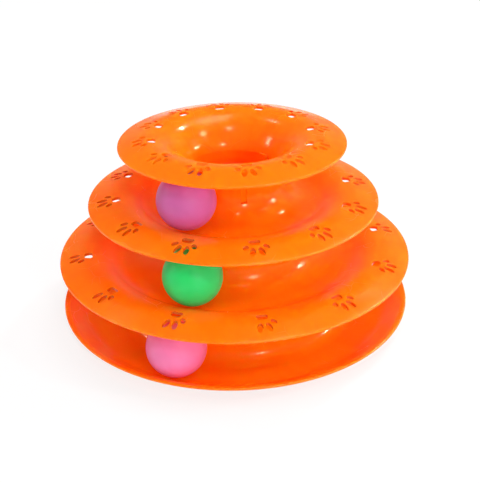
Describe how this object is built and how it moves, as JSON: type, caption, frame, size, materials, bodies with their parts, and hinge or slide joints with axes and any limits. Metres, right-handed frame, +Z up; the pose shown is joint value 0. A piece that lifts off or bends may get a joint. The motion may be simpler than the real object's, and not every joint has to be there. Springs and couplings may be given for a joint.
{
  "type": "cat ball track toy",
  "caption": "Round plastic tower of stacked ball tracks for cats, with paw-print openings in the brims, a loose ball in each track and tiers that lift apart.",
  "frame": {"origin": "on the tower's axis, at the surface that the foot pads stand on", "axes": "+Z up along the tower's axis, +X to the right and +Y away from the front where the balls lie"},
  "size_m": [0.2506, 0.2506, 0.1357],
  "materials": {
    "orange_plastic": "glossy moulded plastic, orange, slightly see-through where it is thin",
    "pink_plastic": "smooth satin",
    "green_plastic": "smooth satin",
    "purple_plastic": "smooth satin",
    "pad_rubber": "matt foam rubber"
  },
  "bodies": {
    "base": {"base_tray": "orange_plastic", "foot_pad_1": "pad_rubber", "foot_pad_2": "pad_rubber", "foot_pad_3": "pad_rubber", "foot_pad_4": "pad_rubber"},
    "lower_tier_body": {"lower_tier": "orange_plastic"},
    "upper_tier_body": {"upper_tier": "orange_plastic"},
    "top_ring_body": {"top_ring": "orange_plastic"},
    "pink_ball": {"pink_ball_outer_half": "pink_plastic", "pink_ball_inner_half": "pink_plastic"},
    "green_ball": {"green_ball_outer_half": "green_plastic", "green_ball_inner_half": "green_plastic"},
    "purple_ball": {"purple_ball_outer_half": "purple_plastic", "purple_ball_inner_half": "purple_plastic"}
  },
  "joints": [
    {"name": "lower_tier_lift", "type": "slide", "parent": "base", "child": "lower_tier_body", "axis": [0, 0, 1], "range_m": [0, 0.06]},
    {"name": "upper_tier_lift", "type": "slide", "parent": "lower_tier_body", "child": "upper_tier_body", "axis": [0, 0, 1], "range_m": [0, 0.06]},
    {"name": "top_ring_lift", "type": "slide", "parent": "upper_tier_body", "child": "top_ring_body", "axis": [0, 0, 1], "range_m": [0, 0.06]},
    {"name": "pink_ball_run", "type": "hinge", "parent": "base", "child": "pink_ball", "pos_m": [0, 0, 0.0239], "axis": [0, 0, 1], "continuous": true},
    {"name": "green_ball_run", "type": "hinge", "parent": "lower_tier_body", "child": "green_ball", "pos_m": [0, 0, 0.0654], "axis": [0, 0, 1], "continuous": true},
    {"name": "purple_ball_run", "type": "hinge", "parent": "upper_tier_body", "child": "purple_ball", "pos_m": [0, 0, 0.1069], "axis": [0, 0, 1], "continuous": true}
  ]
}
